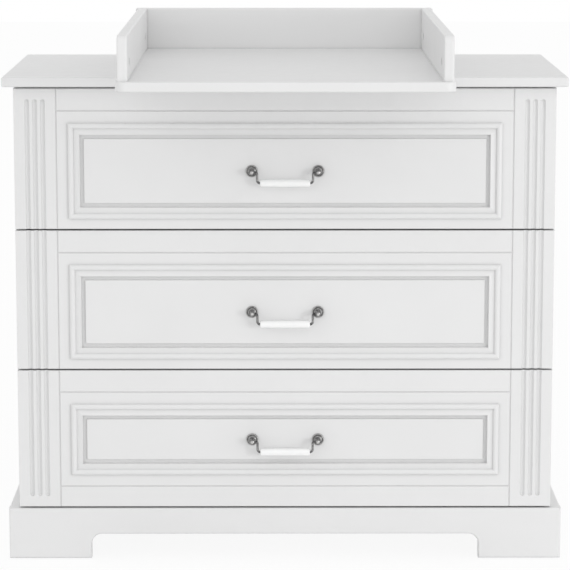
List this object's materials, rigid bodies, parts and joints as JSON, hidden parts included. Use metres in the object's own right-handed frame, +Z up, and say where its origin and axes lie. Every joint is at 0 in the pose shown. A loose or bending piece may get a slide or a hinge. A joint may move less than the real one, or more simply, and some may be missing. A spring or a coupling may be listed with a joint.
{
  "type": "changing table",
  "caption": "Wide chest of drawers with fluted, panelled fronts and bail handles, and an open three-sided changing tray fixed on top that reaches out past the front.",
  "frame": {"origin": "on the floor under the centre of the bounding box", "axes": "+X to the right seen from the front, +Y to the back, +Z up"},
  "size_m": [1.04, 0.83, 1.012],
  "materials": {
    "white_lacquer": "satin white lacquer on fibreboard",
    "white_melamine": "matt white melamine on particle board",
    "white_hardboard": "painted hardboard",
    "plain_softwood": "planed, unfinished",
    "white_plastic": "moulded",
    "roller_plastic": "moulded",
    "white_coated_steel": "powder coated",
    "zinc_plated_steel": "bright zinc plating",
    "zinc": "die cast",
    "antique_pewter": "antique pewter plating, relieved on high spots",
    "porcelain": "clear glaze"
  },
  "bodies": {
    "cabinet": {"top_board": "white_lacquer", "left_side_panel": "white_melamine", "right_side_panel": "white_melamine", "bottom_panel": "white_melamine", "back_panel": "white_hardboard", "top_front_rail": "white_melamine", "top_rear_rail": "white_melamine", "plinth_front": "white_lacquer", "plinth_left": "white_lacquer", "plinth_right": "white_lacquer", "plinth_back": "white_melamine", "plinth_corner_blocks": "plain_softwood", "floor_glides": "white_plastic", "tray_base": "white_lacquer", "tray_left_wall": "white_lacquer", "tray_right_wall": "white_lacquer", "tray_back_wall": "white_lacquer", "tray_cam_locks": "zinc", "tray_brackets": "zinc_plated_steel", "wall_brackets": "zinc_plated_steel", "cabinet_runners": "white_coated_steel"},
    "lower_drawer": {"lower_drawer_front": "white_lacquer", "lower_moulding": "white_lacquer", "lower_box_left": "white_melamine", "lower_box_right": "white_melamine", "lower_box_back": "white_melamine", "lower_box_bottom": "white_hardboard", "lower_drawer_runners": "white_coated_steel", "lower_handle_bolts": "zinc_plated_steel", "lower_handle_posts": "antique_pewter"},
    "lower_bail": {"lower_handle_bail": "antique_pewter", "lower_handle_grip": "porcelain"},
    "lower_front_wheels": {"lower_front_rollers": "roller_plastic"},
    "lower_rear_wheels": {"lower_rear_rollers": "roller_plastic"},
    "middle_drawer": {"middle_drawer_front": "white_lacquer", "middle_moulding": "white_lacquer", "middle_box_left": "white_melamine", "middle_box_right": "white_melamine", "middle_box_back": "white_melamine", "middle_box_bottom": "white_hardboard", "middle_drawer_runners": "white_coated_steel", "middle_handle_bolts": "zinc_plated_steel", "middle_handle_posts": "antique_pewter"},
    "middle_bail": {"middle_handle_bail": "antique_pewter", "middle_handle_grip": "porcelain"},
    "middle_front_wheels": {"middle_front_rollers": "roller_plastic"},
    "middle_rear_wheels": {"middle_rear_rollers": "roller_plastic"},
    "upper_drawer": {"upper_drawer_front": "white_lacquer", "upper_moulding": "white_lacquer", "upper_box_left": "white_melamine", "upper_box_right": "white_melamine", "upper_box_back": "white_melamine", "upper_box_bottom": "white_hardboard", "upper_drawer_runners": "white_coated_steel", "upper_handle_bolts": "zinc_plated_steel", "upper_handle_posts": "antique_pewter"},
    "upper_bail": {"upper_handle_bail": "antique_pewter", "upper_handle_grip": "porcelain"},
    "upper_front_wheels": {"upper_front_rollers": "roller_plastic"},
    "upper_rear_wheels": {"upper_rear_rollers": "roller_plastic"}
  },
  "joints": [
    {"name": "lower_drawer_slide", "type": "slide", "parent": "cabinet", "child": "lower_drawer", "axis": [0, -1, 0], "range_m": [0, 0.34]},
    {"name": "lower_bail_swing", "type": "hinge", "parent": "lower_drawer", "child": "lower_bail", "pos_m": [0, -0.116, 0.23225], "axis": [-1, 0, 0], "range_deg": [-40, 90]},
    {"name": "lower_front_wheel_spin", "type": "hinge", "parent": "cabinet", "child": "lower_front_wheels", "pos_m": [0, -0.0605, 0.13675], "axis": [1, 0, 0], "continuous": true},
    {"name": "lower_rear_wheel_spin", "type": "hinge", "parent": "lower_drawer", "child": "lower_rear_wheels", "pos_m": [0, 0.359, 0.13305], "axis": [1, 0, 0], "continuous": true},
    {"name": "middle_drawer_slide", "type": "slide", "parent": "cabinet", "child": "middle_drawer", "axis": [0, -1, 0], "range_m": [0, 0.34]},
    {"name": "middle_bail_swing", "type": "hinge", "parent": "middle_drawer", "child": "middle_bail", "pos_m": [0, -0.116, 0.475], "axis": [-1, 0, 0], "range_deg": [-40, 90]},
    {"name": "middle_front_wheel_spin", "type": "hinge", "parent": "cabinet", "child": "middle_front_wheels", "pos_m": [0, -0.0605, 0.40075], "axis": [1, 0, 0], "continuous": true},
    {"name": "middle_rear_wheel_spin", "type": "hinge", "parent": "middle_drawer", "child": "middle_rear_wheels", "pos_m": [0, 0.359, 0.39705], "axis": [1, 0, 0], "continuous": true},
    {"name": "upper_drawer_slide", "type": "slide", "parent": "cabinet", "child": "upper_drawer", "axis": [0, -1, 0], "range_m": [0, 0.34]},
    {"name": "upper_bail_swing", "type": "hinge", "parent": "upper_drawer", "child": "upper_bail", "pos_m": [0, -0.116, 0.739], "axis": [-1, 0, 0], "range_deg": [-40, 90]},
    {"name": "upper_front_wheel_spin", "type": "hinge", "parent": "cabinet", "child": "upper_front_wheels", "pos_m": [0, -0.0605, 0.66475], "axis": [1, 0, 0], "continuous": true},
    {"name": "upper_rear_wheel_spin", "type": "hinge", "parent": "upper_drawer", "child": "upper_rear_wheels", "pos_m": [0, 0.359, 0.66105], "axis": [1, 0, 0], "continuous": true}
  ],
  "couplings": [
    {"joint": "lower_front_wheel_spin", "follows": "lower_drawer_slide", "rad_per_m": 90.909},
    {"joint": "lower_rear_wheel_spin", "follows": "lower_drawer_slide", "rad_per_m": 90.909},
    {"joint": "middle_front_wheel_spin", "follows": "middle_drawer_slide", "rad_per_m": 90.909},
    {"joint": "middle_rear_wheel_spin", "follows": "middle_drawer_slide", "rad_per_m": 90.909},
    {"joint": "upper_front_wheel_spin", "follows": "upper_drawer_slide", "rad_per_m": 90.909},
    {"joint": "upper_rear_wheel_spin", "follows": "upper_drawer_slide", "rad_per_m": 90.909}
  ]
}
